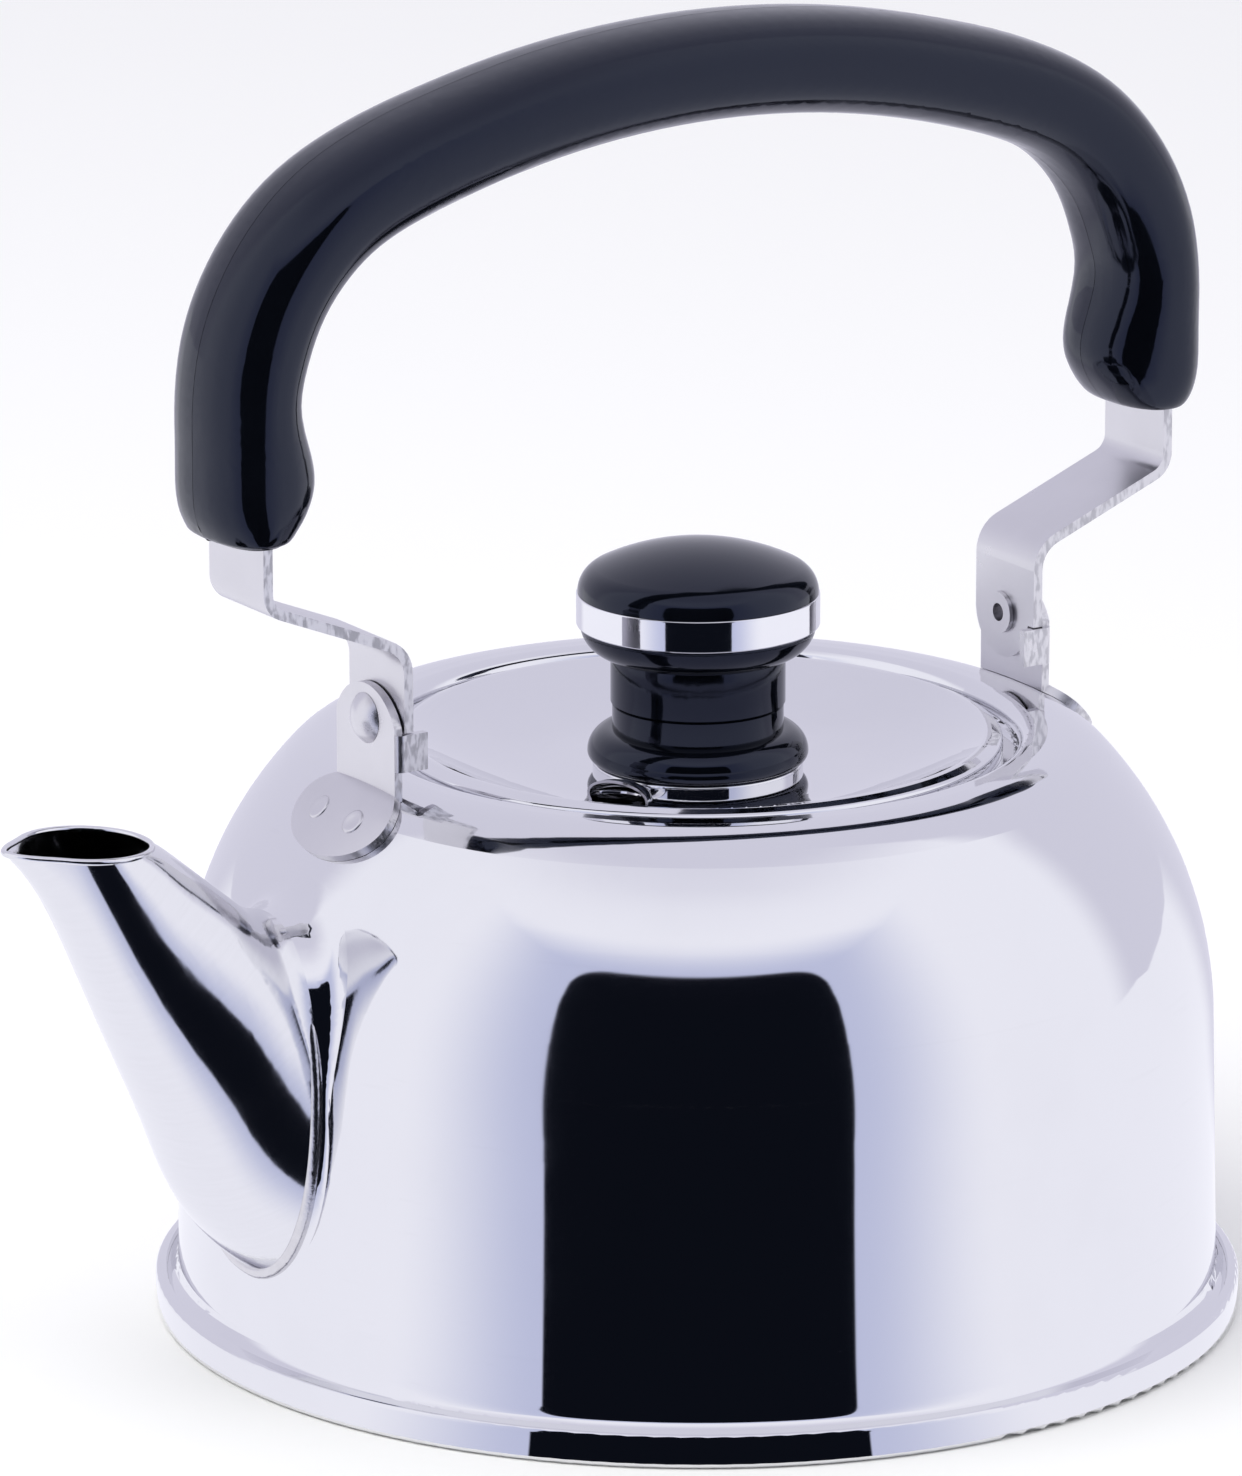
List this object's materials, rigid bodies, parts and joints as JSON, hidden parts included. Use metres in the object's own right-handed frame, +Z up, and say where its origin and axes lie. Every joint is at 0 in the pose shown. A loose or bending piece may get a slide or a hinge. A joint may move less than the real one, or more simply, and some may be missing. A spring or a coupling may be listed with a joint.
{
  "type": "stovetop whistling kettle",
  "caption": "Round polished steel stovetop kettle with a beaked spout, a folding arched bail with a black grip, and a lift-off lid with a whistle under its black knob.",
  "frame": {"origin": "centre of the flat base, on the surface that the kettle stands on", "axes": "+Z up; the spout points along -X; the bail's pivots lie along X and the bail folds down towards +Y"},
  "size_m": [0.2386, 0.19, 0.229],
  "materials": {
    "mirror_steel": "mirror-polished stainless steel",
    "satin_steel": "tumbled satin stainless steel with sheared edges",
    "ground_weld": "weld seam, ground and polished over",
    "chrome": "bright chrome",
    "black_plastic": "glossy black moulded heat-proof plastic",
    "brass": "turned brass"
  },
  "bodies": {
    "kettle": {"body_shell": "mirror_steel", "base_pan": "mirror_steel", "spout": "mirror_steel", "spout_weld_bead": "ground_weld", "ear_front": "satin_steel", "ear_rear": "satin_steel", "rivet_front": "satin_steel", "rivet_rear": "satin_steel"},
    "bail": {"bail_strap": "satin_steel", "grip_half_near": "black_plastic", "grip_half_far": "black_plastic"},
    "lid": {"lid_plate": "mirror_steel", "lid_skirt": "satin_steel", "whistle_cup": "satin_steel", "whistle_plate": "satin_steel", "knob_seat_ring": "mirror_steel", "knob_foot": "black_plastic", "knob_stem": "black_plastic", "knob_band": "chrome", "knob_cap": "black_plastic", "knob_insert": "brass", "knob_washer": "satin_steel", "knob_screw": "satin_steel"}
  },
  "joints": [
    {"name": "bail_swing", "type": "hinge", "parent": "kettle", "child": "bail", "pos_m": [0, 0, 0.1146], "axis": [-1, 0, 0], "range_deg": [0, 90]},
    {"name": "lid_lift", "type": "slide", "parent": "kettle", "child": "lid", "axis": [0, 0, 1], "range_m": [0, 0.045]}
  ]
}
